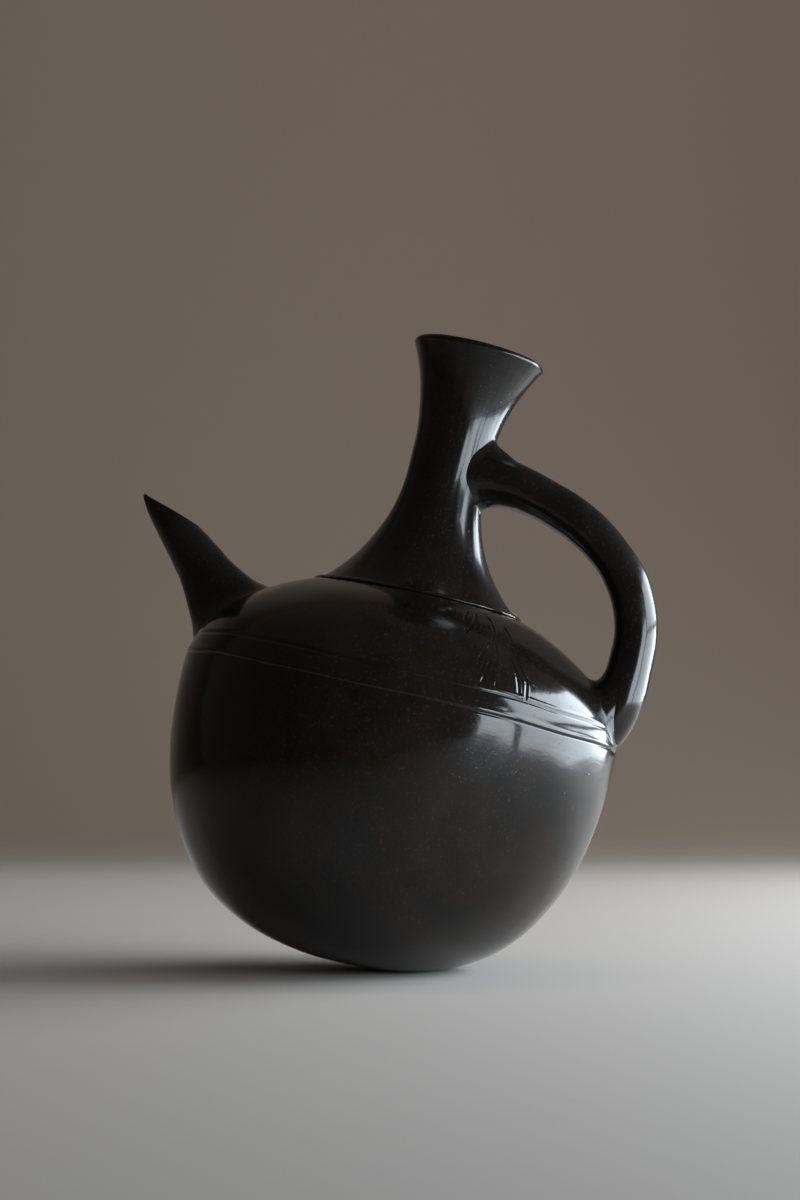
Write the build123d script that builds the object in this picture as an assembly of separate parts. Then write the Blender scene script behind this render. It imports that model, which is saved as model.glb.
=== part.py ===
from build123d import *
import os
from math import atan2, cos, degrees, radians, sin, tan

# A hand-built black clay pouring pot. It has a round-bottomed belly, a trumpet neck, a quill-shaped
# spout and a loop handle. Every piece of clay is its own solid, and pieces meet face to face where
# they were luted together with slip before firing. The belly is a bowl that a coiled shoulder closes.
# The round bottom has no foot ring, so the pot leans towards its handle and rests on a small flat.
#
# Pieces are built in the pot's own frame: the origin is at the middle of the belly, at its widest,
# +Z points up the belly's axis and +X towards the handle. stand() then leans each finished piece and
# sets it on the ground, with the origin at the middle of the resting flat.
# All lengths are in millimetres and all angles in degrees.

# Belly
BELLY_RADIUS = 86.8  # outside, at the widest
DOME_HEIGHT = 50.0  # from the widest to where the shoulder would close over
BOWL_DEPTH = 101.3  # from the widest down to the bottom
BOWL_FULLNESS = 2.48  # exponent of the bowl's outline: 2 is an ellipse, and more is boxier
DOME_FULLNESS = 1.92  # the same for the shoulder
BELLY_WALL = 5.5
JOIN_HEIGHT = 3.6  # outside edge of the scarf joint between bowl and shoulder
SCARF_RISE = 3.0  # how much higher the scarf's inside edge lies

# Neck and its lip
NECK_OFFSET = 3.2  # how far the neck stands from the belly's axis, towards the spout
NECK_FOOT_RADIUS = 40.0
THROAT_RADIUS = 15.7  # outside, at the narrowest
THROAT_WALL = 4.2
THROAT_HEIGHT = 95.0  # where the straight throat starts
THROAT_LENGTH = 9.0
MOUTH_RADIUS = 26.7  # outside, at the lip
LIP_HEIGHT = 146.4  # top of the lip
LIP_THICKNESS = 3.8
LIP_COIL_HEIGHT = 5.0  # the last coil, which forms the lip
SPIGOT_RADIUS = 30.0  # the neck's plug in the shoulder's hole
SPIGOT_WALL = 6.0

# Collar: the impressed coil that hides the joint at the neck's foot
COLLAR_SECTION_RADIUS = 1.9

# Spout
SPOUT_SEAT_RADIUS = 76.1  # where its axis meets the outside of the shoulder, from the belly's axis
SPOUT_ANGLE = 47.7  # from the belly's axis
SPOUT_LENGTH = 61.0  # from the shoulder to the tip
SPOUT_ROOT_RADIUS = 13.0
SPOUT_TIP_RADIUS = 4.1
SPOUT_BORE_ROOT_RADIUS = 7.0
SPOUT_BORE_TIP_RADIUS = 2.6
SPOUT_BORE_TILT = 1.6  # the piercing stick leans to the upper side, so a lip is left at the tip
SPOUT_CUT_START = 39.8  # from the shoulder to the heel of the slanting mouth
SPOUT_CUT_ANGLE = 24.2  # between the slanting mouth and the spout's axis

# Handle: a rolled bar, oval in section
HANDLE_THICKNESS = 16.6  # across the bar, in the plane of the loop
HANDLE_WIDTH = 20.0  # along Y
HANDLE_END_SWELL = 3.6  # extra size at both ends
HANDLE_TOP_HEIGHT = 97.5  # where the bar's middle line leaves the neck
HANDLE_OVERHANG = 2.4  # how far the bar's middle line bows out beyond where it meets the shoulder
HANDLE_REACH_HEIGHT = 42.0
HANDLE_FULLNESS = 2.1  # exponent of the bend between them: 2 is an ellipse, and more is squarer
HANDLE_FOOT_HEIGHT = 15.0  # where the bar's middle line meets the shoulder
HANDLE_FOOT_SLOPE = 55.0  # how steeply it comes down there

# Luting coils: soft clay thumbed round each joint
LUTING_SPREAD = 5.5  # how far the coil's edge lies outside the piece that it holds
LUTING_SIDE_SPREAD = 1.8  # the same at the handle's sides, where the clay was thumbed thin
LUTING_FOOT_SPREAD = 2.4  # the same under the handle's foot
LUTING_REACH = 9.0  # how far it climbs the spout
LUTING_TOP_REACH = 21.0  # how far it runs out along the handle, from inside the neck
LUTING_FOOT_REACH = 24.0  # how far it climbs the handle, from inside the shoulder
LUTING_EDGE = 0.8  # its thickness where it ends on the piece

# How the pot stands
LEAN = 13.5
LEAN_HEADING = 21.2  # from the handle's side, turning from +X to +Y
REST_DEPTH = 1.1  # depth of the worn flat that it rests on

# Working values
AXIS_Z = Axis.Z
BIG = 400.0  # longer than the pot, for cutting tools
OUTLINE_STEPS = 8
BAR_SECTIONS = 10
LIP_EDGE = LIP_HEIGHT - LIP_THICKNESS / 2  # where the lip starts to round over
SEAM_HEADING = 75.0  # from the handle's side to where a turned surface closes on itself


def revolve_outline(*edges):
    """Solid turned round Z from edges drawn as (radius, height), its seam clear of spout and handle."""
    return Rot(0, 0, SEAM_HEADING) * revolve(Plane.XZ * make_face(edges), axis=AXIS_Z)


def dome_height(radius, inset=0.0):
    """Height of the shoulder's surface, or one inset from it, at a radius from the belly's axis."""
    share = (radius / (BELLY_RADIUS - inset)) ** DOME_FULLNESS
    return (DOME_HEIGHT - inset) * (1 - share) ** (1 / DOME_FULLNESS)


def dome_radius(height):
    """Radius of the shoulder's surface at a height above the belly's widest."""
    share = (height / DOME_HEIGHT) ** DOME_FULLNESS
    return BELLY_RADIUS * (1 - share) ** (1 / DOME_FULLNESS)


def quarter_points(radius, height, fullness):
    """Points of a superellipse's quarter between its two ends, from the widest to the pole."""
    power = 2 / fullness
    angles = [radians(90 * i / OUTLINE_STEPS) for i in range(1, OUTLINE_STEPS)]
    return [(radius * cos(a) ** power, height * sin(a) ** power) for a in angles]


def body_solid(inset=0.0):
    """The belly as one full solid, its surface set in by inset."""
    radius, top, bottom = BELLY_RADIUS - inset, DOME_HEIGHT - inset, inset - BOWL_DEPTH
    dome_points = quarter_points(radius, top, DOME_FULLNESS)
    bowl_points = [(r, -z) for r, z in quarter_points(radius, -bottom, BOWL_FULLNESS)]
    dome = Spline((radius, 0), *dome_points, (0, top), tangents=[(0, 1), (-1, 0)])
    bowl = Spline((radius, 0), *bowl_points, (0, bottom), tangents=[(0, -1), (-1, 0)])
    return revolve_outline(dome, bowl, Line((0, bottom), (0, top)))


def below_scarf():
    """Everything under the slanting joint between bowl and shoulder."""
    slope = SCARF_RISE / BELLY_WALL
    outer, inner = BELLY_RADIUS + BELLY_WALL, BELLY_RADIUS - 2 * BELLY_WALL
    edge = dome_radius(JOIN_HEIGHT)
    outline = Polyline(
        (0, -BIG),
        (outer, -BIG),
        (outer, JOIN_HEIGHT - slope * (outer - edge)),
        (inner, JOIN_HEIGHT + slope * (edge - inner)),
        (0, JOIN_HEIGHT + slope * (edge - inner)),
        close=True,
    )
    return revolve_outline(outline)


def neck_place():
    """Where the neck stands on the belly, its seam turned aside."""
    return Pos(-NECK_OFFSET, 0, 0) * Rot(0, 0, SEAM_HEADING)


def neck_flank(foot_radius, foot_height, throat_radius, mouth_radius):
    """One side of the trumpet's outline: flared foot, straight throat and flared mouth."""
    throat_top = THROAT_HEIGHT + THROAT_LENGTH
    return [
        TangentArc((throat_radius, THROAT_HEIGHT), (foot_radius, foot_height), tangent=(0, -1)),
        Line((throat_radius, THROAT_HEIGHT), (throat_radius, throat_top)),
        TangentArc((throat_radius, throat_top), (mouth_radius, LIP_EDGE), tangent=(0, 1)),
    ]


def neck_outside():
    """The neck as one full solid, for cutting what is luted on to it."""
    foot = dome_height(NECK_FOOT_RADIUS)
    closing = Polyline(
        (MOUTH_RADIUS, LIP_EDGE), (0, LIP_EDGE), (0, 0), (NECK_FOOT_RADIUS, 0), (NECK_FOOT_RADIUS, foot)
    )
    flank = neck_flank(NECK_FOOT_RADIUS, foot, THROAT_RADIUS, MOUTH_RADIUS)
    return neck_place() * revolve_outline(*flank, closing)


def neck_pipe():
    """The neck with its bore and rounded lip, and a skirt that reaches into the belly."""
    foot = dome_height(NECK_FOOT_RADIUS)
    skirt = foot - 2 * BELLY_WALL
    bore_foot_radius = SPIGOT_RADIUS - SPIGOT_WALL
    bore_foot = dome_height(SPIGOT_RADIUS, BELLY_WALL)
    mouth_bore = MOUTH_RADIUS - LIP_THICKNESS
    lip = ThreePointArc(
        (MOUTH_RADIUS, LIP_EDGE), (MOUTH_RADIUS - LIP_THICKNESS / 2, LIP_HEIGHT), (mouth_bore, LIP_EDGE)
    )
    bottom = Polyline(
        (bore_foot_radius, bore_foot),
        (bore_foot_radius, skirt),
        (NECK_FOOT_RADIUS, skirt),
        (NECK_FOOT_RADIUS, foot),
    )
    outer = neck_flank(NECK_FOOT_RADIUS, foot, THROAT_RADIUS, MOUTH_RADIUS)
    inner = neck_flank(bore_foot_radius, bore_foot, THROAT_RADIUS - THROAT_WALL, mouth_bore)
    return neck_place() * revolve_outline(*outer, lip, *inner, bottom)


def spigot():
    """The plug by which the neck sits in the shoulder's hole."""
    plug = Cylinder(SPIGOT_RADIUS, 6 * BELLY_WALL)
    return neck_place() * Pos(0, 0, dome_height(SPIGOT_RADIUS)) * plug


def spout_frame():
    """Plane at the spout's seat: its Z runs out along the spout and its X up over the mouth's side."""
    seat = (-SPOUT_SEAT_RADIUS, 0, dome_height(SPOUT_SEAT_RADIUS))
    out = (-sin(radians(SPOUT_ANGLE)), 0, cos(radians(SPOUT_ANGLE)))
    upper = (cos(radians(SPOUT_ANGLE)), 0, sin(radians(SPOUT_ANGLE)))
    return Plane(origin=seat, x_dir=upper, z_dir=out)


def spout_radius(distance):
    """Outside radius of the spout's cone at a distance from its seat."""
    return SPOUT_ROOT_RADIUS + (SPOUT_TIP_RADIUS - SPOUT_ROOT_RADIUS) * distance / SPOUT_LENGTH


def spout_bore():
    """The tapered channel that the piercing stick left, through the shoulder and out of the mouth."""
    taper = (SPOUT_BORE_TIP_RADIUS - SPOUT_BORE_ROOT_RADIUS) / SPOUT_LENGTH
    start, end = -3 * BELLY_WALL, SPOUT_LENGTH + BELLY_WALL
    bore = Cone(
        SPOUT_BORE_ROOT_RADIUS + taper * start,
        SPOUT_BORE_ROOT_RADIUS + taper * end,
        end - start,
        align=(Align.CENTER, Align.CENTER, Align.MIN),
    )
    return spout_frame() * Rot(0, SPOUT_BORE_TILT, 0) * Pos(0, 0, start) * bore


def spout_cone():
    """The spout as a full cone that reaches into the belly, with its mouth cut on the slant."""
    root = -4 * BELLY_WALL
    outline = Polyline(
        (0, root),
        (spout_radius(root), root),
        (SPOUT_TIP_RADIUS, SPOUT_LENGTH),
        (0, SPOUT_LENGTH),
        close=True,
    )
    cone = revolve_outline(outline)
    heel = Pos(spout_radius(SPOUT_CUT_START) + LUTING_EDGE, 0, SPOUT_CUT_START)
    knife = Box(BIG, BIG, BIG, align=(Align.MIN, Align.CENTER, Align.CENTER))
    return spout_frame() * (cone - heel * Rot(0, -SPOUT_CUT_ANGLE, 0) * knife)


def spout_luting():
    outline = Polyline(
        (0, -BELLY_WALL),
        (spout_radius(0) + LUTING_SPREAD, -BELLY_WALL),
        (spout_radius(0) + LUTING_SPREAD, -LUTING_EDGE),
        (spout_radius(LUTING_REACH) + LUTING_EDGE, LUTING_REACH),
        (0, LUTING_REACH),
        close=True,
    )
    return spout_frame() * revolve_outline(outline)


def handle_line():
    """Middle line of the bar, from inside the neck to inside the shoulder."""
    rise = HANDLE_TOP_HEIGHT - HANDLE_REACH_HEIGHT
    reach = dome_radius(HANDLE_FOOT_HEIGHT) + HANDLE_OVERHANG
    bend = quarter_points(reach, rise, HANDLE_FULLNESS)
    clear_of_neck = [(r, HANDLE_REACH_HEIGHT + z) for r, z in bend if r > 2 * THROAT_RADIUS]
    slope = radians(HANDLE_FOOT_SLOPE)
    foot = (
        dome_radius(HANDLE_FOOT_HEIGHT) - BELLY_WALL * cos(slope),
        HANDLE_FOOT_HEIGHT - BELLY_WALL * sin(slope),
    )
    return Plane.XZ * Spline(
        (THROAT_RADIUS / 2, HANDLE_TOP_HEIGHT),
        *reversed(clear_of_neck),
        (reach, HANDLE_REACH_HEIGHT),
        foot,
        tangents=[(1, 0), (-cos(slope), -sin(slope))],
    )


def bar_section(line, share, side=0.0, spread=0.0):
    """Oval section of the bar at a share of its middle line, larger by side along Y and by spread across."""
    swell = HANDLE_END_SWELL * (2 * abs(share - 0.5)) ** 3
    plane = Plane(origin=line @ share, x_dir=(0, 1, 0), z_dir=line % share)
    return plane * Ellipse(
        (HANDLE_WIDTH + swell) / 2 + side, (HANDLE_THICKNESS + swell) / 2 + spread
    )


def handle_bar():
    line = handle_line()
    sections = [bar_section(line, i / BAR_SECTIONS) for i in range(BAR_SECTIONS + 1)]
    return loft(sections)


def handle_luting(end, direction, reach, spread):
    """A cone of clay round one end of the bar, closing on the bar in the given direction."""
    line = handle_line()
    share = end + direction * reach / line.length
    wide = bar_section(line, end, LUTING_SIDE_SPREAD, spread)
    close = bar_section(line, share, LUTING_EDGE, LUTING_EDGE)
    return loft([wide, close], ruled=True)


def collar_ring():
    """The impressed coil round the neck's foot, half sunk in the angle between neck and shoulder."""
    low, high = dome_height(NECK_FOOT_RADIUS + NECK_OFFSET), dome_height(NECK_FOOT_RADIUS - NECK_OFFSET)
    slope = degrees(atan2(high - low, 2 * NECK_FOOT_RADIUS))
    ring = Torus(NECK_FOOT_RADIUS + COLLAR_SECTION_RADIUS / 2, COLLAR_SECTION_RADIUS)
    return Pos(-NECK_OFFSET, 0, (low + high) / 2) * Rot(0, -slope, 0) * Rot(0, 0, SEAM_HEADING) * ring


def rest_point():
    """Point of the bowl that is lowest once the pot leans, as (radius, height)."""
    ratio = (tan(radians(LEAN)) * BELLY_RADIUS / BOWL_DEPTH) ** (1 / (BOWL_FULLNESS - 1))
    share = (1 + ratio**BOWL_FULLNESS) ** (-1 / BOWL_FULLNESS)
    return BELLY_RADIUS * ratio * share, -BOWL_DEPTH * share


def stand(shape):
    """Leans a finished piece about the belly's middle and sets it down, origin at the resting flat."""
    heading = radians(LEAN_HEADING)
    hinge = Axis((0, 0, 0), (-sin(heading), cos(heading), 0))
    radius, height = rest_point()
    lean = radians(LEAN)
    along = radius * cos(lean) + height * sin(lean)
    lowest = height * cos(lean) - radius * sin(lean)
    leaned = shape.rotate(hinge, LEAN)
    return Pos(-along * cos(heading), -along * sin(heading), -lowest - REST_DEPTH) * leaned


def build_pieces():
    """Every piece, in the pot's own frame, before it is stood up."""
    belly, cavity = body_solid(), body_solid(BELLY_WALL)
    shell = belly - cavity
    outside = neck_outside()
    cone, channel = spout_cone(), spout_bore()
    bar = handle_bar()

    bowl = shell & below_scarf()
    shoulder = shell - below_scarf() - spigot() - channel

    pipe = neck_pipe() - cavity - shoulder
    above_seam = Box(BIG, BIG, BIG, align=(Align.CENTER, Align.CENTER, Align.MIN))
    lip_seam = neck_place() * Pos(0, 0, LIP_HEIGHT - LIP_COIL_HEIGHT) * above_seam
    collar = collar_ring() - belly - outside

    return {
        "bowl": bowl,
        "shoulder": shoulder,
        "neck": pipe - lip_seam,
        "lip_coil": pipe & lip_seam,
        "neck_collar": collar,
        "spout": cone - belly - channel,
        "spout_luting_coil": spout_luting() - belly - cone,
        "handle": bar - outside - belly,
        "handle_top_luting_coil": handle_luting(0, 1, LUTING_TOP_REACH, LUTING_SPREAD) - bar - outside,
        "handle_foot_luting_coil": handle_luting(1, -1, LUTING_FOOT_REACH, LUTING_FOOT_SPREAD) - bar - belly,
    }


def main():
    os.makedirs("parts", exist_ok=True)
    ground = Box(BIG, BIG, BIG, align=(Align.CENTER, Align.CENTER, Align.MAX))
    for name, piece in build_pieces().items():
        standing = stand(piece)
        if name == "bowl":
            standing = standing - ground
        export_step(standing, f"parts/{name}.step")


main()
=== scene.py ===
import bmesh
import bpy
from math import cos, exp, pi, radians, sin, tan
from mathutils import Matrix, Vector, noise


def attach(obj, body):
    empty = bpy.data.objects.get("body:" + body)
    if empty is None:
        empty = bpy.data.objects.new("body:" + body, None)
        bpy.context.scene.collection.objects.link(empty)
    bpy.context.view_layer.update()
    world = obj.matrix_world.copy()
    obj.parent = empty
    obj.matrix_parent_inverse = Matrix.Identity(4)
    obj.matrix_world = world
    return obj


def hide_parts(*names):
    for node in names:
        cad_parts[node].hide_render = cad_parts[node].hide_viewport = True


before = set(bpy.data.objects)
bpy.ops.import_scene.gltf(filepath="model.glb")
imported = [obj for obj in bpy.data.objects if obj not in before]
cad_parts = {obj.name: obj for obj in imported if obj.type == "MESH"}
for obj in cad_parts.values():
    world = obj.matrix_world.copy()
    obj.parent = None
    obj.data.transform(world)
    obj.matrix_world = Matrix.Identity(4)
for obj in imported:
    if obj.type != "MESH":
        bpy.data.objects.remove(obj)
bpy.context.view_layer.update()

# A hand-built, smoke-fired black clay pouring pot, rebuilt as the potter's own pieces of clay.
# Shapes are worked out in the pot's own frame: millimetres, the origin at the middle of the belly at
# its widest, +Z up the belly's axis and +X towards the handle. STAND leans them and sets them down.

MM = 0.001

# Belly
BELLY_RADIUS = 86.8
DOME_HEIGHT, DOME_FULLNESS = 50.0, 1.92
BOWL_DEPTH, BOWL_FULLNESS = 101.3, 2.48
BELLY_WALL = 5.5
JOIN_HEIGHT, SCARF_RISE = 3.6, 3.0

# Neck
NECK_OFFSET = 3.2
NECK_FOOT_RADIUS = 40.0
THROAT_RADIUS, THROAT_WALL = 15.7, 4.2
THROAT_LOW, THROAT_HIGH = 95.0, 104.0
MOUTH_RADIUS, LIP_HEIGHT, LIP_THICKNESS = 26.3, 145.4, 3.8
LIP_SEAM, LIP_WORN = 140.0, 0.2
MOUTH_TILT = radians(-1.1)

# Spout
SPOUT_SEAT_RADIUS, SPOUT_ANGLE = 76.1, radians(47.7)
SPOUT_LENGTH, SPOUT_ROOT, SPOUT_TIP = 61.0, 13.0, 4.1
SPOUT_CUT_START, SPOUT_CUT_ANGLE = 39.8, radians(24.2)
SPOUT_CHANNEL_ROOT, SPOUT_CHANNEL_TIP = 7.0, 2.6

# Handle
HANDLE_THICKNESS, HANDLE_WIDTH = 16.6, 20.0
HANDLE_TOP, HANDLE_REACH, HANDLE_REACH_HEIGHT = 97.5, 84.6, 42.0
HANDLE_FULLNESS, HANDLE_END_SWELL = 2.1, 3.6
HANDLE_FOOT_HEIGHT, HANDLE_FOOT_SLOPE = 15.0, radians(55)

# How the pot stands
LEAN, LEAN_HEADING = radians(13.5), radians(21.2)
REST_DEPTH = 1.1

# Meshes
AROUND = 300  # columns round the belly
GIRDLES = (10.2, 2.1)  # heights of the two incised lines
GIRDLE_DEPTH, GIRDLE_WIDTH = 0.42, 0.42


# ---------------------------------------------------------------- shapes in the pot's own frame

def belly_radius(z, inset=0.0):
    """Radius of the belly's surface, or of one inset from it, at a height."""
    top, depth = DOME_HEIGHT - inset, BOWL_DEPTH - inset
    size, fullness = (top, DOME_FULLNESS) if z > 0 else (depth, BOWL_FULLNESS)
    share = min(1.0, abs(z) / size) ** fullness
    return (BELLY_RADIUS - inset) * max(0.0, 1 - share) ** (1 / fullness)


def dome_height(radius, inset=0.0):
    share = (radius / (BELLY_RADIUS - inset)) ** DOME_FULLNESS
    return (DOME_HEIGHT - inset) * (1 - share) ** (1 / DOME_FULLNESS)


def belly_share(point):
    """1 on the belly's surface, less inside it and more outside."""
    size, fullness = (DOME_HEIGHT, DOME_FULLNESS) if point.z > 0 else (BOWL_DEPTH, BOWL_FULLNESS)
    radius = Vector((point.x, point.y)).length
    return ((radius / BELLY_RADIUS) ** fullness + (abs(point.z) / size) ** fullness) ** (1 / fullness)


def belly_normal(point):
    size, fullness = (DOME_HEIGHT, DOME_FULLNESS) if point.z > 0 else (BOWL_DEPTH, BOWL_FULLNESS)
    flat = Vector((point.x, point.y, 0))
    out = flat.normalized() * (flat.length / BELLY_RADIUS) ** (fullness - 1) / BELLY_RADIUS
    out.z = (1 if point.z > 0 else -1) * (abs(point.z) / size) ** (fullness - 1) / size
    return out.normalized()


def on_belly(point, sink=0.0):
    """The point moved straight to or from the belly's middle until it lies on the surface."""
    surface = point / belly_share(point)
    return surface - surface.normalized() * sink


def arc_flare(distance, reach, growth):
    """How far a circular flare stands out at a distance along it, when it grows by growth over reach."""
    radius = (reach ** 2 + growth ** 2) / (2 * growth)
    return radius - (radius ** 2 - min(distance, reach) ** 2) ** 0.5


def neck_radius(z, bore=False):
    """Radius of the neck about its own axis, outside or in its bore."""
    foot = (24.0, 39.0) if bore else (NECK_FOOT_RADIUS, dome_height(NECK_FOOT_RADIUS))
    thinner = THROAT_WALL if bore else 0.0
    throat = THROAT_RADIUS - thinner
    mouth = MOUTH_RADIUS - (LIP_THICKNESS if bore else 0.0)
    edge = LIP_HEIGHT - LIP_THICKNESS / 2
    if z < THROAT_LOW:
        return throat + arc_flare(THROAT_LOW - z, THROAT_LOW - foot[1], foot[0] - throat)
    if z > THROAT_HIGH:
        return throat + arc_flare(z - THROAT_HIGH, edge - THROAT_HIGH, mouth - throat)
    return throat


def smooth_step(value, low, high):
    share = max(0.0, min(1.0, (value - low) / (high - low)))
    return share * share * (3 - 2 * share)


def neck_shift(z):
    """The neck's middle line: it stands to the spout's side and bows back a little at the mouth."""
    return -NECK_OFFSET + 1.3 * max(0.0, (z - 116) / 28) ** 1.5


def bent(point):
    """A point of a straight neck moved to where the offset neck has it, settled on the dome at its foot."""
    tilt = MOUTH_TILT * smooth_step(point.z, 112, 140)
    moved = Vector((neck_shift(point.z) + point.x * cos(tilt), point.y, point.z + point.x * sin(tilt)))
    settle = 1 - smooth_step(point.z, 46, 70)
    if settle > 0:
        moved.z += settle * (dome_height(moved.xy.length) - dome_height(point.xy.length))
    return moved


def on_neck(side, z, sink=0.0):
    """Point on the handle's side of the neck at a distance sideways and a height."""
    radius = neck_radius(z) - sink
    side = max(-0.97 * radius, min(0.97 * radius, side))
    return bent(Vector(((radius ** 2 - side ** 2) ** 0.5, side, z)))


def handle_path():
    """Points of the bar's middle line, from inside the neck to inside the shoulder."""
    rise, power = HANDLE_TOP - HANDLE_REACH_HEIGHT, 2 / HANDLE_FULLNESS
    points = []
    for i in range(61):
        angle = radians(84.5) * (1 - i / 60)
        out, height = HANDLE_REACH * cos(angle) ** power, HANDLE_REACH_HEIGHT + rise * sin(angle) ** power
        points.append(Vector((out, 0, height)))
    slope = HANDLE_FOOT_SLOPE
    share = (HANDLE_FOOT_HEIGHT / DOME_HEIGHT) ** DOME_FULLNESS
    seat = BELLY_RADIUS * (1 - share) ** (1 / DOME_FULLNESS)
    start = points[-1]
    foot = Vector((seat - BELLY_WALL * cos(slope), 0, HANDLE_FOOT_HEIGHT - BELLY_WALL * sin(slope)))
    stretch = (foot - start).length
    leave, arrive = Vector((0, 0, -stretch)), Vector((-cos(slope), 0, -sin(slope))) * stretch
    for i in range(1, 31):
        t = i / 30
        point = start * (2 * t ** 3 - 3 * t ** 2 + 1) + foot * (3 * t ** 2 - 2 * t ** 3)
        points.append(point + leave * (t ** 3 - 2 * t ** 2 + t) + arrive * (t ** 3 - t ** 2))
    return points


HANDLE_POINTS = handle_path()
HANDLE_STEPS = [(b - a).length for a, b in zip(HANDLE_POINTS, HANDLE_POINTS[1:])]
HANDLE_LENGTH = sum(HANDLE_STEPS)


def handle_line(share):
    """Point of the handle's middle line at a share of its length."""
    left = max(0.0, min(1.0, share)) * HANDLE_LENGTH
    for start, end, step in zip(HANDLE_POINTS, HANDLE_POINTS[1:], HANDLE_STEPS):
        if left <= step:
            return start.lerp(end, left / step)
        left -= step
    return HANDLE_POINTS[-1].copy()


def handle_direction(share):
    step = 0.015
    return (handle_line(min(1, share + step)) - handle_line(max(0, share - step))).normalized()


def spout_point(along, up=0.0, side=0.0):
    """Point in the spout's frame: along its axis, up over the mouth's side, and sideways."""
    out = Vector((-sin(SPOUT_ANGLE), 0, cos(SPOUT_ANGLE)))
    upper = Vector((cos(SPOUT_ANGLE), 0, sin(SPOUT_ANGLE)))
    seat = Vector((-SPOUT_SEAT_RADIUS, 0, dome_height(SPOUT_SEAT_RADIUS)))
    return seat + out * along + upper * up + Vector((0, side, 0))


def standing_matrix():
    """Leans the pot about the belly's middle and sets it down, the origin at its resting flat."""
    ratio = (tan(LEAN) * BELLY_RADIUS / BOWL_DEPTH) ** (1 / (BOWL_FULLNESS - 1))
    share = (1 + ratio ** BOWL_FULLNESS) ** (-1 / BOWL_FULLNESS)
    radius, height = BELLY_RADIUS * ratio * share, -BOWL_DEPTH * share
    along = radius * cos(LEAN) + height * sin(LEAN)
    lowest = height * cos(LEAN) - radius * sin(LEAN)
    heading = Vector((cos(LEAN_HEADING), sin(LEAN_HEADING), 0))
    hinge = Vector((-heading.y, heading.x, 0))
    place = -heading * along + Vector((0, 0, -lowest - REST_DEPTH))
    return Matrix.Scale(MM, 4) @ Matrix.Translation(place) @ Matrix.Rotation(LEAN, 4, hinge)


STAND = standing_matrix()
BELLY_MIDDLE = STAND @ Vector((0, 0, 0))


# ---------------------------------------------------------------- hand-worked surfaces

def hand_wobble(point):
    """How far a hand-built wall stands proud of a true form, in millimetres."""
    broad = noise.noise(point * 0.022) * 0.75
    palm = noise.noise(point * 0.06 + Vector((7, 3, 1))) * 0.22
    return broad + palm - 0.35


def groove(offset, width, depth):
    return -depth * exp(-((offset / width) ** 2))


def girdle_depth(point):
    """Two lines drawn round the belly with a thorn while it turned, so they waver a little."""
    angle = Vector((point.x, point.y)).angle_signed(Vector((1, 0)), 0.0)
    depth = 0.0
    for i, height in enumerate(GIRDLES):
        waver = 0.5 * sin(2 * angle + 1.3 * i) + 0.3 * sin(5 * angle + i) + 0.12 * sin(13 * angle)
        press = 0.75 + 0.25 * sin(3 * angle + 2 * i)
        depth += groove(point.z - height - waver, GIRDLE_WIDTH, GIRDLE_DEPTH * press)
        depth += 0.16 * exp(-(((point.z - height - waver - 1.5) / 0.7) ** 2))
    return depth


# The fan of short strokes on the shoulder: each runs through headings in degrees and heights
FAN_STROKES = [
    [(-57, 42), (-63, 36)],
    [(-55, 40), (-59, 36), (-63, 31)],
    [(-55, 36), (-62, 25)],
    [(-56, 29), (-61, 20)],
    [(-57, 22), (-60, 12)],
    [(-49, 42), (-50, 38), (-54, 27), (-56, 12)],
    [(-44, 38), (-46, 32)],
    [(-48, 31), (-47, 23), (-46, 17), (-47, 10)],
    [(-50, 26), (-49, 19), (-49, 12)],
]
PIT_HEADING, PIT_HEIGHT, PIT_RADIUS = -29.8, -2.1, 1.0


def at_heading(heading, height):
    angle = radians(heading)
    radius = belly_radius(height)
    return Vector((radius * cos(angle), radius * sin(angle), height))


FAN_LINES = [[at_heading(*end) for end in stroke] for stroke in FAN_STROKES]
FAN_MIDDLE = at_heading(-54.0, 27.0)
FAN_REACH = 27.0
PIT = at_heading(PIT_HEADING, PIT_HEIGHT)


def distance_to_segment(point, start, end):
    run = end - start
    share = max(0.0, min(1.0, (point - start).dot(run) / run.length_squared))
    return (point - start - run * share).length, share


def fan_depth(point):
    """Depth of the incised fan at a point of the shoulder: each stroke fades at its ends."""
    if (point - FAN_MIDDLE).length > FAN_REACH:
        return 0.0
    deepest, burr = 0.0, 0.0
    for line in FAN_LINES:
        for i, (start, end) in enumerate(zip(line, line[1:])):
            away, share = distance_to_segment(point, start, end)
            if away < 2.4:
                from_end = min(share if i == 0 else 1.0, 1 - share if i == len(line) - 2 else 1.0)
                press = min(1.0, 0.25 + 4 * from_end)
                deepest = min(deepest, groove(away, 0.45, 0.34 * press))
                burr = max(burr, 0.10 * press * exp(-(((away - 1.0) / 0.4) ** 2)))
    return deepest + burr


def pit_depth(point):
    away = (point - PIT).length
    return -1.6 * exp(-((away / PIT_RADIUS) ** 4)) if away < 4 else 0.0


def belly_relief(point):
    return hand_wobble(point) + girdle_depth(point) + fan_depth(point) + pit_depth(point)


# ---------------------------------------------------------------- mesh tools

def new_piece(name, mesh_data, node, smooth_angle=radians(50)):
    """Makes an object of a bmesh in the pot's own frame, stands it up and fits it to the frame."""
    bmesh.ops.remove_doubles(mesh_data, verts=mesh_data.verts, dist=0.002)
    bmesh.ops.recalc_face_normals(mesh_data, faces=mesh_data.faces)
    mesh_data.transform(STAND)
    mesh = bpy.data.meshes.new(name)
    mesh_data.to_mesh(mesh)
    mesh_data.free()
    mesh.shade_smooth()
    piece = bpy.data.objects.new(name, mesh)
    bpy.context.scene.collection.objects.link(piece)
    mesh.set_sharp_from_angle(angle=smooth_angle)
    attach(piece, "root")
    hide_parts(node)
    return piece


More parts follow.
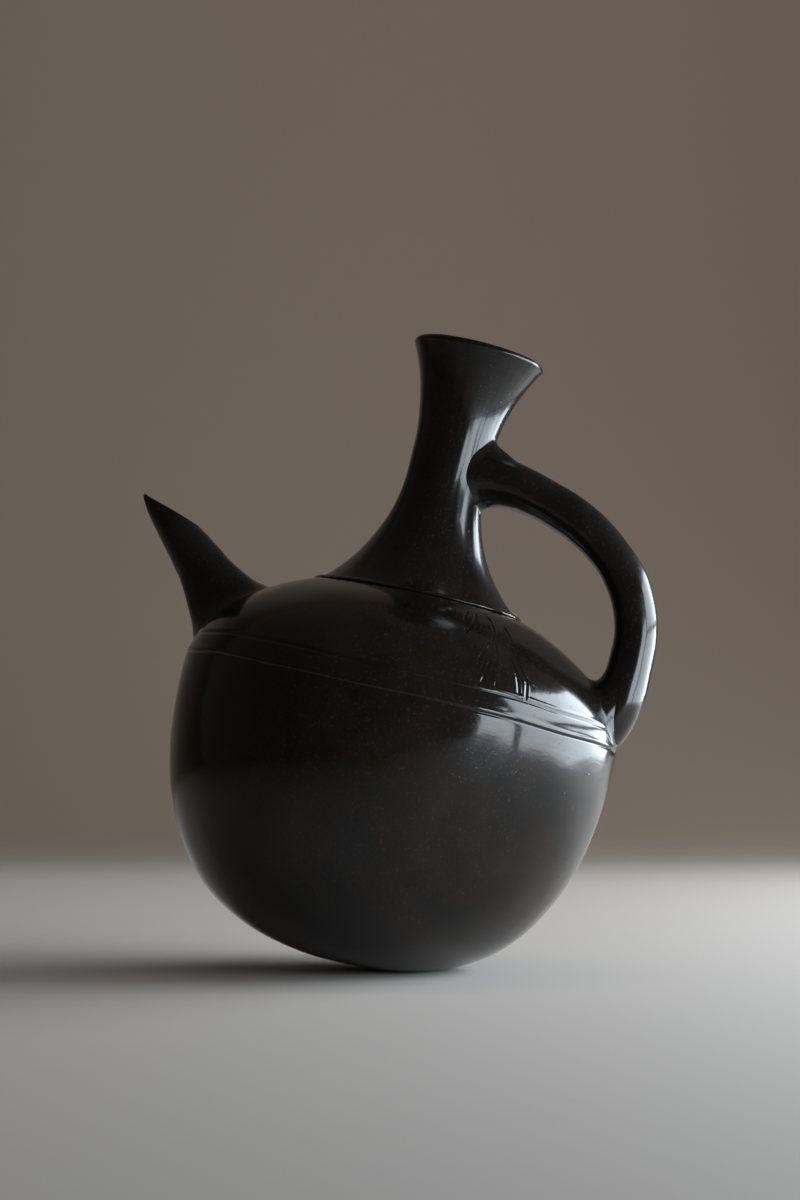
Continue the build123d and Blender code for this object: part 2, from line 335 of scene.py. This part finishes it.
def spin_profile(points, steps, closed=True):
    """Turns an outline of (radius, height) points right round the pot's axis."""
    turned = bmesh.new()
    verts = [turned.verts.new((radius, 0, height)) for radius, height in points]
    pairs = list(zip(verts, verts[1:])) + ([(verts[-1], verts[0])] if closed else [])
    edges = [turned.edges.new(pair) for pair in pairs]
    bmesh.ops.spin(
        turned, geom=verts + edges, axis=(0, 0, 1), cent=(0, 0, 0), angle=2 * pi, steps=steps, use_merge=True
    )
    bmesh.ops.remove_doubles(turned, verts=turned.verts, dist=0.001)
    bmesh.ops.recalc_face_normals(turned, faces=turned.faces)
    return turned


def close_ring(target, verts):
    return [target.edges.new((a, b)) for a, b in zip(verts, verts[1:] + verts[:1])]


def skin(target, rings, cap_start=True, cap_end=True, loop=False):
    """Bridges rings in their order and caps the ends."""
    loops = [close_ring(target, verts) for verts in rings]
    pairs = list(zip(loops, loops[1:])) + ([(loops[-1], loops[0])] if loop else [])
    for first, second in pairs:
        bmesh.ops.bridge_loops(target, edges=first + second)
    if not loop:
        ends = ([rings[0]] if cap_start else []) + ([rings[-1]] if cap_end else [])
        for verts in ends:
            middle = target.verts.new(sum((v.co for v in verts), Vector()) / len(verts))
            for a, b in zip(verts, verts[1:] + verts[:1]):
                target.faces.new((a, b, middle))


def rise_by(target, relief, outer, direction=None):
    """Moves the vertices that outer picks by the relief there, along direction or their normals."""
    target.normal_update()
    raised = [v for v in target.verts if outer(v.co)]
    moves = [(v, (direction(v.co) if direction else v.normal) * relief(v.co)) for v in raised]
    for vert, move in moves:
        vert.co += move


def outwards(point):
    """Straight out from the pot's axis."""
    return Vector((point.x, point.y, 0)).normalized()


def fillet_rings(target, near, joint, far, rows, relief):
    """Rings of a fillet of clay: each column is a curve from near, bent at joint, out to far.

    relief(point, share) says how far the thumbed clay stands proud there."""
    rings = []
    for row in range(rows + 1):
        t = row / rows
        ring_verts = []
        for a, b, c in zip(near, joint, far):
            point = a * (1 - t) ** 2 + b * (2 * t * (1 - t)) + c * t ** 2
            out = ((a + c) / 2 - b).normalized()
            ring_verts.append(target.verts.new(point + out * (relief(point, t) * sin(pi * t))))
        rings.append(ring_verts)
    return rings


def close_inside(target, rings, near, joint, far, deep):
    """Closes a fillet into a solid with hidden rings inside the pieces that it joins."""
    under_far = [target.verts.new(c.lerp(d, 0.10)) for c, d in zip(far, deep)]
    under_joint = [target.verts.new(b.lerp(d, 0.16)) for b, d in zip(joint, deep)]
    middle = sum(near, Vector()) / len(near)
    under_near = [target.verts.new(a.lerp(middle, 0.16)) for a in near]
    return rings + [under_far, under_joint, under_near]


# ---------------------------------------------------------------- the pieces of clay

def belly_heights(low, high, coarse):
    """Heights of the belly's rows: close together where the girdle lines run."""
    heights, z = [low], low
    while z < high - 1e-6:
        near_girdle = any(abs(z - g) < 2.2 for g in GIRDLES)
        z = min(high, z + (0.28 if near_girdle else coarse))
        heights.append(z)
    return heights


def belly_outside(point):
    """True for vertices of the outer wall."""
    return belly_share(point) > 0.985


def make_bowl():
    quarter = 64
    outer = [(belly_radius(z), z) for z in reversed(belly_heights(0.0, JOIN_HEIGHT, 0.6))]
    power = 2 / BOWL_FULLNESS
    for i in range(1, quarter + 1):
        a = (pi / 2) * i / quarter
        radius = BELLY_RADIUS * max(0.0, cos(a)) ** power if i < quarter else 0.0
        outer.append((radius, -BOWL_DEPTH * sin(a) ** power))
    inner = []
    for i in range(24, -1, -1):
        a = (pi / 2) * i / 24
        radius = (BELLY_RADIUS - BELLY_WALL) * max(0.0, cos(a)) ** power if i < 24 else 0.0
        inner.append((radius, -(BOWL_DEPTH - BELLY_WALL) * sin(a) ** power))
    scarf = JOIN_HEIGHT + SCARF_RISE
    inner.append((belly_radius(scarf, BELLY_WALL), scarf))
    bowl = spin_profile(outer + inner, AROUND, closed=True)
    rise_by(bowl, belly_relief, belly_outside, belly_normal)
    piece = new_piece("bowl_clay", bowl, "bowl")
    for vert in piece.data.vertices:
        vert.co.z = max(0.0, vert.co.z)
    return piece


def make_shoulder():
    scarf = JOIN_HEIGHT + SCARF_RISE
    outer = [(belly_radius(z), z) for z in belly_heights(JOIN_HEIGHT, 34.0, 0.9)]
    outer += [(r, dome_height(r)) for r in range(60, 33, -1) if dome_height(r) > 34.2]
    inner = [(r, dome_height(r, BELLY_WALL)) for r in range(34, 78, 4)]
    inner.append((belly_radius(scarf, BELLY_WALL), scarf))
    shoulder = spin_profile(outer + inner, AROUND, closed=True)
    patch = [
        f for f in shoulder.faces
        if (f.calc_center_median() - FAN_MIDDLE).length < FAN_REACH
        and belly_outside(f.calc_center_median())
    ]
    edges = list({e for f in patch for e in f.edges})
    bmesh.ops.subdivide_edges(shoulder, edges=edges, cuts=3, use_grid_fill=True)
    for vert in shoulder.verts:
        if belly_outside(vert.co) and (vert.co - FAN_MIDDLE).length < FAN_REACH + 2:
            vert.co = on_belly(vert.co)
    rise_by(shoulder, belly_relief, belly_outside, belly_normal)
    return new_piece("shoulder_clay", shoulder, "shoulder")


def neck_relief(point):
    """Long scraped facets up the neck, on the hand's own wobble."""
    angle = Vector((point.x, point.y)).angle_signed(Vector((1, 0)), 0.0)
    facets = 0.22 * noise.noise(Vector((2.6 * cos(angle), 2.6 * sin(angle), point.z * 0.018)))
    fine = 0.07 * noise.noise(Vector((9 * cos(angle), 9 * sin(angle), point.z * 0.05)))
    return hand_wobble(point) * 0.5 + facets + fine


def bow_neck(target):
    for vert in target.verts:
        vert.co = bent(vert.co)


def neck_outer(point):
    return Vector((point.x, point.y)).length > neck_radius(point.z) - 1.2


def make_neck():
    foot = dome_height(NECK_FOOT_RADIUS)
    rows = [foot + (LIP_SEAM - foot) * i / 92 for i in range(93)]
    bore = [LIP_SEAM - (LIP_SEAM - 40.0) * i / 40 for i in range(41)]
    outline = [(NECK_FOOT_RADIUS, foot - 3.0)] + [(neck_radius(z), z) for z in rows]
    outline += [(neck_radius(z, bore=True), z) for z in bore]
    neck = spin_profile(outline, 200, closed=True)
    rise_by(neck, neck_relief, neck_outer, outwards)
    bow_neck(neck)
    return new_piece("neck_clay", neck, "neck")


def make_lip():
    half = LIP_THICKNESS / 2
    edge, middle = LIP_HEIGHT - half, MOUTH_RADIUS - half
    rows = [LIP_SEAM + (edge - LIP_SEAM) * i / 6 for i in range(6)]
    outline = [(neck_radius(z), z) for z in rows]
    turns = [pi * i / 14 for i in range(15)]
    outline += [(middle + half * cos(a), edge - LIP_WORN + half * sin(a)) for a in turns]
    bore = [edge - (edge - LIP_SEAM) * i / 6 for i in range(1, 7)]
    outline += [(neck_radius(z, bore=True), z) for z in bore]
    lip = spin_profile(outline, 200, closed=True)

    def lip_relief(point):
        angle = Vector((point.x, point.y)).angle_signed(Vector((1, 0)), 0.0)
        pinch = 0.25 * noise.noise(Vector((3.4 * cos(angle), 3.4 * sin(angle), 4.0)))
        return neck_relief(point) + pinch * min(1.0, max(0.0, (point.z - LIP_SEAM) / 3))

    rise_by(lip, lip_relief, neck_outer, outwards)
    bow_neck(lip)
    return new_piece("lip_coil_clay", lip, "lip_coil")


def make_collar():
    """The coil thumbed into the angle of neck and shoulder, pressed all round with a toothed stick."""
    rows, columns, marks = 20, 560, 46
    middle = NECK_FOOT_RADIUS + 0.6
    height = dome_height(middle) + 0.05
    half_wide, half_tall, slope = 1.35, 0.7, radians(-25)
    outline = []
    for i in range(rows):
        along, over = half_wide * cos(2 * pi * i / rows), half_tall * sin(2 * pi * i / rows)
        radius = middle + along * cos(slope) - over * sin(slope)
        outline.append((radius, height + along * sin(slope) + over * cos(slope)))
    collar = spin_profile(outline, columns, closed=True)

    def dash(point):
        angle = Vector((point.x, point.y)).angle_signed(Vector((1, 0)), 0.0)
        radius = Vector((point.x, point.y)).length
        turn = angle * marks / (2 * pi) + 0.18 * sin(3 * angle)
        away = abs(turn - round(turn))
        mark = exp(-((away / 0.30) ** 6)) * exp(-(((radius - middle - 0.35) / 0.55) ** 2))
        uneven = 0.75 + 0.4 * noise.noise(Vector((5 * cos(angle), 5 * sin(angle), 2.0)))
        return hand_wobble(point) * 0.5 + 0.15 - 0.65 * mark * uneven + 0.15 * noise.noise(point * 0.12)

    rise_by(collar, dash, lambda point: point.z > height - 0.9)
    bow_neck(collar)
    return new_piece("collar_clay", collar, "neck_collar")


def spout_radius(along):
    return SPOUT_ROOT + (SPOUT_TIP - SPOUT_ROOT) * along / SPOUT_LENGTH


def spout_cut(up):
    """How far along the spout its slanting mouth lies, at a height above its axis."""
    heel = spout_radius(SPOUT_CUT_START)
    return SPOUT_CUT_START + (heel - up) / tan(SPOUT_CUT_ANGLE)


def quill_relief(point):
    return 0.5 * noise.noise(point * 0.05) + 0.16 * noise.noise(point * 0.2)


def bar_relief(point):
    return 0.5 * noise.noise(point * 0.045 + Vector((2, 0, 0))) + 0.16 * noise.noise(point * 0.13) - 0.12


def make_spout():
    """A tapering quill with a slanting mouth, pierced by a stick."""
    rows, columns = 54, 64
    quill = bmesh.new()

    def wall(start, radius_at, offset_at):
        rings = []
        for row in range(rows + 1):
            verts = []
            for i in range(columns):
                angle = 2 * pi * i / columns
                share = row / rows
                end = SPOUT_LENGTH
                for _ in range(6):
                    radius = radius_at(end)
                    up = offset_at(end) + radius * sin(angle)
                    end = min(SPOUT_LENGTH - 0.35 * (1 - sin(angle)), spout_cut(up))
                along = start + (end - start) * share
                radius = radius_at(along)
                up, side = offset_at(along) + radius * sin(angle), radius * cos(angle)
                verts.append(quill.verts.new(spout_point(along, up, side)))
            rings.append(verts)
        return rings

    def quill_radius(along):
        tip = max(0.0, (along - SPOUT_LENGTH + 7) / 7)
        return spout_radius(along) * (1 - 0.26 * tip ** 2) + 0.45 * sin(pi * max(0.0, along) / SPOUT_LENGTH)

    def channel_radius(along):
        narrowing = (SPOUT_CHANNEL_TIP - SPOUT_CHANNEL_ROOT) / SPOUT_LENGTH
        return max(1.0, SPOUT_CHANNEL_ROOT + narrowing * along)

    outer = wall(-6.0, quill_radius, lambda along: 0.4 * sin(pi * max(0.0, along) / SPOUT_LENGTH))
    inner = wall(-6.0, channel_radius, lambda along: 0.028 * along)
    skin(quill, outer + list(reversed(inner)), loop=True)
    rim = {vert for vert in outer[-1]}
    edges = [e for e in quill.edges if e.verts[0] in rim and e.verts[1] in rim]
    bmesh.ops.bevel(quill, geom=edges, offset=0.55, affect="EDGES", segments=3, profile=0.5, material=-1)

    axis_low, axis_high = spout_point(0), spout_point(SPOUT_LENGTH)

    def quill_outer(point):
        away, share = distance_to_segment(point, axis_low, axis_high)
        return away > spout_radius(share * SPOUT_LENGTH) - 1.1

    rise_by(quill, quill_relief, quill_outer)
    return new_piece("spout_clay", quill, "spout", radians(38))


def make_spout_luting():
    """Clay thumbed round the spout's root, feathered out over the shoulder."""
    columns = 96
    near, joint, far, deep = [], [], [], []
    for i in range(columns):
        angle = 2 * pi * i / columns
        up, side = sin(angle), cos(angle)
        climb = 22.0 - 2.0 * up
        middle = spout_point(climb, 0.36)
        close = spout_radius(climb) + 0.40
        skin_point = spout_point(climb, close * up + 0.36, close * side)
        near.append(skin_point + (skin_point - middle).normalized() * (quill_relief(skin_point) - 0.06))
        under = smooth_step(-up, 0, 1)
        root = SPOUT_ROOT + 1.2 + 2.2 * under
        joint.append(on_belly(spout_point(-2.0, root * up, (SPOUT_ROOT + 0.6) * side)))
        spread = SPOUT_ROOT + 11.0 + 4.5 * under
        far.append(on_belly(spout_point(-2.0, spread * up, (SPOUT_ROOT + 9.0) * side), sink=0.8))
        deep.append(spout_point(-12.0))

    def thumbed(point, share):
        return 0.6 + 0.7 * noise.noise(point * 0.11 + Vector((3, 0, 0)))

    luting = bmesh.new()
    rings = fillet_rings(luting, near, joint, far, 26, thumbed)
    skin(luting, close_inside(luting, rings, near, joint, far, deep), loop=True)
    return new_piece("spout_luting_clay", luting, "spout_luting_coil")


def bar_half_sizes(share):
    """Half the bar's thickness and width at a share of its length."""
    swell = HANDLE_END_SWELL / 2 * (2 * abs(share - 0.5)) ** 3
    return HANDLE_THICKNESS / 2 + swell, HANDLE_WIDTH / 2 + swell


def bar_ring_points(share, count, grow=0.0):
    """Points round the bar, whose section is an oval a little squared by the potter's palm."""
    middle, run = handle_line(share), handle_direction(share)
    across = Vector((0, 1, 0))
    up = across.cross(run).normalized()
    if up.z + up.x < 0:
        up = -up
    thick, wide = bar_half_sizes(share)
    points = []
    for i in range(count):
        angle = 2 * pi * i / count
        side = abs(cos(angle)) ** 0.9 * (1 if cos(angle) > 0 else -1)
        over = abs(sin(angle)) ** 0.9 * (1 if sin(angle) > 0 else -1)
        point = middle + across * (wide * side) + up * (thick * over)
        points.append(point + (point - middle).normalized() * (bar_relief(point) + grow))
    return points


def make_handle():
    columns, rows = 72, 150
    bar = bmesh.new()
    rings = []
    for row in range(rows + 1):
        rings.append([bar.verts.new(p) for p in bar_ring_points(row / rows, columns)])
    skin(bar, rings)

    return new_piece("handle_clay", bar, "handle")


def make_handle_top_luting():
    """Clay that wraps the handle's upper end on to the neck, thumbed to a lump on top."""
    columns = 96
    near = bar_ring_points(0.155, columns, grow=-0.06)
    joint, far, deep = [], [], []
    height = HANDLE_TOP - 0.3
    for i in range(columns):
        angle = 2 * pi * i / columns
        side, up = cos(angle), sin(angle)
        joint.append(on_neck(10.6 * side, height + 9.8 * up))
        far.append(on_neck(12.9 * side, height + 16.4 * up, sink=0.5))
        deep.append(bent(Vector((6.0, 0, height + 4.0 * up))))
    lump = Vector((17.0, -6.0, 109.0))

    def thumbed(point, share):
        knob = 1.4 * exp(-(((point - lump).length / 5.5) ** 2))
        crease = -0.35 * exp(-(((share - 0.62) / 0.10) ** 2)) * smooth_step(-point.y, 2, 9)
        return knob + crease + 0.8 * noise.noise(point * 0.14 + Vector((9, 0, 0)))

    luting = bmesh.new()
    rings = fillet_rings(luting, near, joint, far, 26, thumbed)
    skin(luting, close_inside(luting, rings, near, joint, far, deep), loop=True)
    return new_piece("handle_top_luting_clay", luting, "handle_top_luting_coil")


def make_handle_foot_luting():
    """Clay that spreads the handle's lower end over the shoulder, with a ridge left by the thumb."""
    columns = 96
    near = bar_ring_points(0.80, columns, grow=-0.06)
    joint, far, deep = [], [], []
    share = (HANDLE_FOOT_HEIGHT / DOME_HEIGHT) ** DOME_FULLNESS
    seat = Vector((BELLY_RADIUS * (1 - share) ** (1 / DOME_FULLNESS), 0, HANDLE_FOOT_HEIGHT))
    out = belly_normal(seat)
    uphill = Vector((-out.z, 0, out.x))
    for i in range(columns):
        angle = 2 * pi * i / columns
        side, up = cos(angle), sin(angle)
        # The bar's upper side, where over is positive, is its outer side, so it meets the belly downhill
        joint.append(on_belly(seat + Vector((0, 11.2 * side, 0)) - uphill * (10.4 * up)))
        far.append(on_belly(seat + Vector((0, 14.2 * side, 0)) - uphill * (18.6 * up), sink=0.7))
        deep.append(seat * 0.86)

    def thumbed(point, t):
        ridge = 0.25 * exp(-(((t - 0.72) / 0.05) ** 2)) + 0.15 * exp(-(((t - 0.86) / 0.04) ** 2))
        return ridge + 0.8 * noise.noise(point * 0.13 + Vector((5, 0, 0)))

    luting = bmesh.new()
    rings = fillet_rings(luting, near, joint, far, 34, thumbed)
    skin(luting, close_inside(luting, rings, near, joint, far, deep), loop=True)
    return new_piece("handle_foot_luting_clay", luting, "handle_foot_luting_coil")


# ---------------------------------------------------------------- materials

class Socket:
    """A shader socket that adds Math nodes when it is used in an expression."""

    def __init__(self, tree, link):
        self.tree, self.link = tree, link

    def math(self, operation, other, swap=False):
        first, second = (other, self) if swap else (self, other)
        return self.tree.node("ShaderNodeMath", {"operation": operation}, {0: first, 1: second})[0]

    def __add__(self, other):
        return self.math("ADD", other)

    def __sub__(self, other):
        return self.math("SUBTRACT", other)

    def __rsub__(self, other):
        return self.math("SUBTRACT", other, swap=True)

    def __mul__(self, other):
        return self.math("MULTIPLY", other)

    __radd__, __rmul__ = __add__, __mul__


class Clay:
    """A material's node tree: node() adds any node from its type, settings and inputs."""

    def __init__(self, name):
        self.material = bpy.data.materials.new(name)
        self.material.use_nodes = True
        self.nodes, self.links = self.material.node_tree.nodes, self.material.node_tree.links
        self.nodes.clear()

    def node(self, kind, settings=None, inputs=None):
        made = self.nodes.new(kind)
        for key, value in (settings or {}).items():
            if key == "stops":
                ramp = made.color_ramp.elements
                for place, colour in value[2:]:
                    ramp.new(place)
                for stop, (place, colour) in zip(ramp, sorted(value)):
                    stop.position, stop.color = place, colour
            else:
                setattr(made, key, value)
        for key, value in (inputs or {}).items():
            if isinstance(value, Socket):
                self.links.new(value.link, made.inputs[key])
            else:
                made.inputs[key].default_value = value
        return [Socket(self, out) for out in made.outputs]

    def noise(self, vector, scale, detail=4.0, roughness=0.5, distortion=0.0):
        settings = {"noise_dimensions": "3D"}
        inputs = {
            "Vector": vector, "Scale": scale, "Detail": detail,
            "Roughness": roughness, "Distortion": distortion,
        }
        return self.node("ShaderNodeTexNoise", settings, inputs)[0]

    def ramp(self, value, low, high):
        settings = {"clamp": True, "interpolation_type": "SMOOTHSTEP"}
        inputs = {"Value": value, "From Min": low, "From Max": high}
        return self.node("ShaderNodeMapRange", settings, inputs)[0]

    def mix(self, factor, first, second):
        settings = {"data_type": "RGBA"}
        return self.node("ShaderNodeMix", settings, {0: factor, 6: first, 7: second})[2]


def grey(value, warm=0.0):
    return (value * (1 + warm), value, value * (1 - warm), 1)


def burnished_clay(name, black, brown, cloud_low, cloud_high, streak_scale, gloss, along_axis=False):
    """Smoke-fired clay rubbed with a pebble: streaks follow the strokes, brown clouds break the black."""
    clay = Clay(name)
    place = clay.node("ShaderNodeTexCoord")[3]
    turn = Matrix.Rotation(-LEAN, 3, Vector((-sin(LEAN_HEADING), cos(LEAN_HEADING), 0))).to_euler()
    as_point = {"vector_type": "POINT"}
    upright = clay.node("ShaderNodeMapping", as_point, {"Vector": place, "Rotation": turn})[0]
    stroke_size = (9, 9, 1.2) if along_axis else (1.6, 1.6, 16)
    strokes = clay.node("ShaderNodeMapping", as_point, {"Vector": upright, "Scale": stroke_size})[0]

    clouds = clay.noise(place, 17, 3, 0.55, 0.4)
    cloud = clay.ramp(clouds, cloud_low, cloud_high)
    streak = clay.noise(strokes, streak_scale, 5, 0.6)
    fine_streak = clay.noise(strokes, streak_scale * 3.3, 3, 0.6)
    speckle = clay.ramp(clay.noise(place, 900, 2, 0.6), 0.58, 0.70)
    grain = clay.noise(place, 2400, 2, 0.5)
    pits = clay.ramp(clay.noise(place, 420, 2, 0.5), 0.30, 0.22)
    blotch = clay.noise(place, 55, 4, 0.6)

    base = clay.mix(cloud, black, brown)
    pale_brown = tuple(min(1, c * 2.1) for c in brown[:3]) + (1,)
    lighter = clay.mix(clay.ramp(blotch, 0.35, 0.75) * 0.3, base, pale_brown)
    dusty = clay.mix(speckle * 0.22, lighter, grey(0.045, 0.08))
    # The pits are painted near-black: painted shade in their hollows, on top of their sunk bump and rougher
    # gloss
    colour = clay.mix(pits * 0.8, dusty, grey(0.0015))

    rough = gloss + 0.07 * streak + 0.05 * fine_streak + 0.05 * cloud + 0.06 * speckle
    rough = rough + 0.25 * pits - 0.05 * blotch
    relief = 0.25 * streak + 0.08 * fine_streak + 0.01 * grain + blotch - 0.8 * pits
    bump = clay.node("ShaderNodeBump", {}, {"Strength": 0.35, "Distance": 0.0002, "Height": relief})[0]
    inputs = {
        "Base Color": colour, "Roughness": rough, "Normal": bump,
        "IOR": 1.36, "Coat Weight": 0.2, "Coat Roughness": 0.06,
    }
    shader = clay.node("ShaderNodeBsdfPrincipled", {}, inputs)[0]
    clay.node("ShaderNodeOutputMaterial", {}, {"Surface": shader})
    return clay.material


BLACK = (0.0040, 0.0034, 0.0031, 1)
WARM_BLACK = (0.0048, 0.0039, 0.0033, 1)
NECK_BLACK = (0.0042, 0.0035, 0.0032, 1)
SPOUT_BLACK = (0.0038, 0.0033, 0.0031, 1)
# Each piece's clay: black, brown, where the clouds start and are full, the streaks' scale, the gloss
# and whether the strokes run along the pot's axis
CLAYS = {
    "belly": (BLACK, (0.0115, 0.0072, 0.0047, 1), 0.50, 0.72, 26, 0.10),
    "shoulder": (WARM_BLACK, (0.0095, 0.0066, 0.0046, 1), 0.42, 0.68, 24, 0.10),
    "neck": (NECK_BLACK, (0.0080, 0.0060, 0.0046, 1), 0.46, 0.70, 22, 0.15, True),
    "spout": (SPOUT_BLACK, (0.0095, 0.0072, 0.0058, 1), 0.48, 0.72, 22, 0.22, True),
    "handle": (BLACK, (0.0095, 0.0072, 0.0057, 1), 0.46, 0.72, 26, 0.16, True),
}
MATERIALS = {name: burnished_clay(f"{name}_burnished_clay", *values) for name, values in CLAYS.items()}


def finish_with(piece, material):
    piece.data.materials.clear()
    piece.data.materials.append(MATERIALS[material])


def make_pot():
    finish_with(make_bowl(), "belly")
    finish_with(make_shoulder(), "shoulder")
    finish_with(make_neck(), "neck")
    finish_with(make_lip(), "neck")
    finish_with(make_collar(), "shoulder")
    finish_with(make_spout(), "spout")
    finish_with(make_spout_luting(), "spout")
    finish_with(make_handle(), "handle")
    finish_with(make_handle_top_luting(), "handle")
    finish_with(make_handle_foot_luting(), "handle")


# ---------------------------------------------------------------- studio

CAMERA_HEADING = radians(11.25)
CAMERA_DISTANCE, CAMERA_HEIGHT, CAMERA_PITCH = 1.112, 0.094, radians(2.6)
RIGHT = Vector((cos(CAMERA_HEADING), sin(CAMERA_HEADING), 0))
AWAY = Vector((-sin(CAMERA_HEADING), cos(CAMERA_HEADING), 0))


def make_camera():
    data = bpy.data.cameras.new("camera")
    data.sensor_fit, data.sensor_height, data.sensor_width = "VERTICAL", 36, 24
    data.lens = 85
    data.clip_end = 20
    camera = bpy.data.objects.new("camera", data)
    bpy.context.scene.collection.objects.link(camera)
    camera.location = BELLY_MIDDLE - AWAY * CAMERA_DISTANCE
    camera.location.z = CAMERA_HEIGHT
    camera.rotation_euler = (pi / 2 + CAMERA_PITCH, 0, CAMERA_HEADING)
    bpy.context.scene.camera = camera


TABLE_LEFT = 4.0
TABLE_EDGE = 0.47  # the table ends short of the window, just out of the camera's view


def make_stage():
    """A pale table that sweeps up far behind into a taupe wall; the table's far part is painted darker as it
    nears the wall, painted shade for light that falls off away from the camera.
    """
    sweep = bmesh.new()
    edge_near, edge_far, wall = 3.0, 0.95, 3.2
    outline = [(-edge_near, 0.0), (edge_far, 0.0)]
    radius = 1.1
    turns = [pi / 2 * i / 16 for i in range(1, 17)]
    outline += [(edge_far + radius * sin(a), radius * (1 - cos(a))) for a in turns]
    outline.append((edge_far + radius, wall))
    left_end = -RIGHT * TABLE_LEFT
    verts = [sweep.verts.new(AWAY * along + Vector((0, 0, height)) + left_end) for along, height in outline]
    edges = [sweep.edges.new(pair) for pair in zip(verts, verts[1:])]
    made = bmesh.ops.extrude_edge_only(sweep, edges=edges)
    far_side = [v for v in made["geom"] if isinstance(v, bmesh.types.BMVert)]
    bmesh.ops.translate(sweep, verts=far_side, vec=RIGHT * (TABLE_LEFT + TABLE_EDGE))
    bmesh.ops.recalc_face_normals(sweep, faces=sweep.faces)
    mesh = bpy.data.meshes.new("table_and_wall")
    sweep.to_mesh(mesh)
    sweep.free()
    mesh.shade_smooth()
    stage = bpy.data.objects.new("table_and_wall", mesh)
    bpy.context.scene.collection.objects.link(stage)

    paint = Clay("table_and_wall_paint_and_painted_shade")
    place = paint.node("ShaderNodeTexCoord")[3]
    split = paint.node("ShaderNodeVectorMath", {"operation": "DOT_PRODUCT"}, {0: place, 1: AWAY})[1]
    height = paint.node("ShaderNodeSeparateXYZ", {}, {0: place})[2]
    # back blends the pale table into the taupe wall; on the table's far part the blend is painted shade, the
    # table darker away from the camera
    back = paint.ramp(split + 0.9 * height, 0.55, 1.15)
    colour = paint.mix(back, (0.61, 0.55, 0.51, 1), (0.33, 0.265, 0.215, 1))
    mottle = paint.noise(place, 60, 5, 0.6)
    shaded = paint.mix(mottle * 0.06, colour, (0.40, 0.34, 0.30, 1))
    shader = paint.node("ShaderNodeBsdfPrincipled", {}, {"Base Color": shaded, "Roughness": 0.75})[0]
    paint.node("ShaderNodeOutputMaterial", {}, {"Surface": shader})
    mesh.materials.append(paint.material)


def window_pane(name, near, far, low, high, glow):
    """One pane of a tall window on the pot's right: a soft light of an even glow, seen by no camera."""
    width, height = far - near, high - low
    data = bpy.data.lights.new(name, "AREA")
    data.shape, data.size, data.size_y = "RECTANGLE", width, height
    data.energy, data.color = glow * pi * width * height, (0.80, 0.91, 1.0)
    light = bpy.data.objects.new(name, data)
    bpy.context.scene.collection.objects.link(light)
    pot = Vector((BELLY_MIDDLE.x, BELLY_MIDDLE.y, 0))
    middle = AWAY * (near + far) / 2 + Vector((0, 0, (low + high) / 2))
    light.location = pot + RIGHT * WINDOW_DISTANCE + middle
    light.rotation_euler = (pi / 2, 0, CAMERA_HEADING + pi / 2)
    light.visible_camera = False


WINDOW_DISTANCE = 0.70
# Each pane's near and far edge, its low and high edge, and its glow
WINDOW_PANES = {
    "pane_near": (-0.93, -0.39, -0.075, 0.31, 11.0),
    "pane_low": (-0.33, 0.72, -0.055, 0.17, 10.0),
    "pane_high": (-0.33, 0.72, 0.205, 0.50, 10.0),
}


def make_lights():
    """Daylight from a window on the right, in a dim room."""
    for name, pane in WINDOW_PANES.items():
        window_pane(name, *pane)
    data = bpy.data.lights.new("wall_wash", "AREA")
    data.shape, data.size, data.size_y = "RECTANGLE", 2.6, 0.9
    data.energy, data.color = 15, (1.0, 0.97, 0.92)
    wash = bpy.data.objects.new("wall_wash", data)
    bpy.context.scene.collection.objects.link(wash)
    wash.location = AWAY * 0.25 + RIGHT * 0.9 + Vector((0, 0, 1.9))
    wash.rotation_euler = (radians(62), 0, CAMERA_HEADING)
    wash.visible_camera = wash.visible_glossy = False
    world = bpy.data.worlds.new("room")
    bpy.context.scene.world = world
    world.use_nodes = True
    background = world.node_tree.nodes["Background"]
    background.inputs["Color"].default_value = (1.0, 0.93, 0.86, 1)
    background.inputs["Strength"].default_value = 0.07


make_camera()
make_pot()
make_stage()
make_lights()
bpy.context.scene.view_settings.view_transform = "Standard"
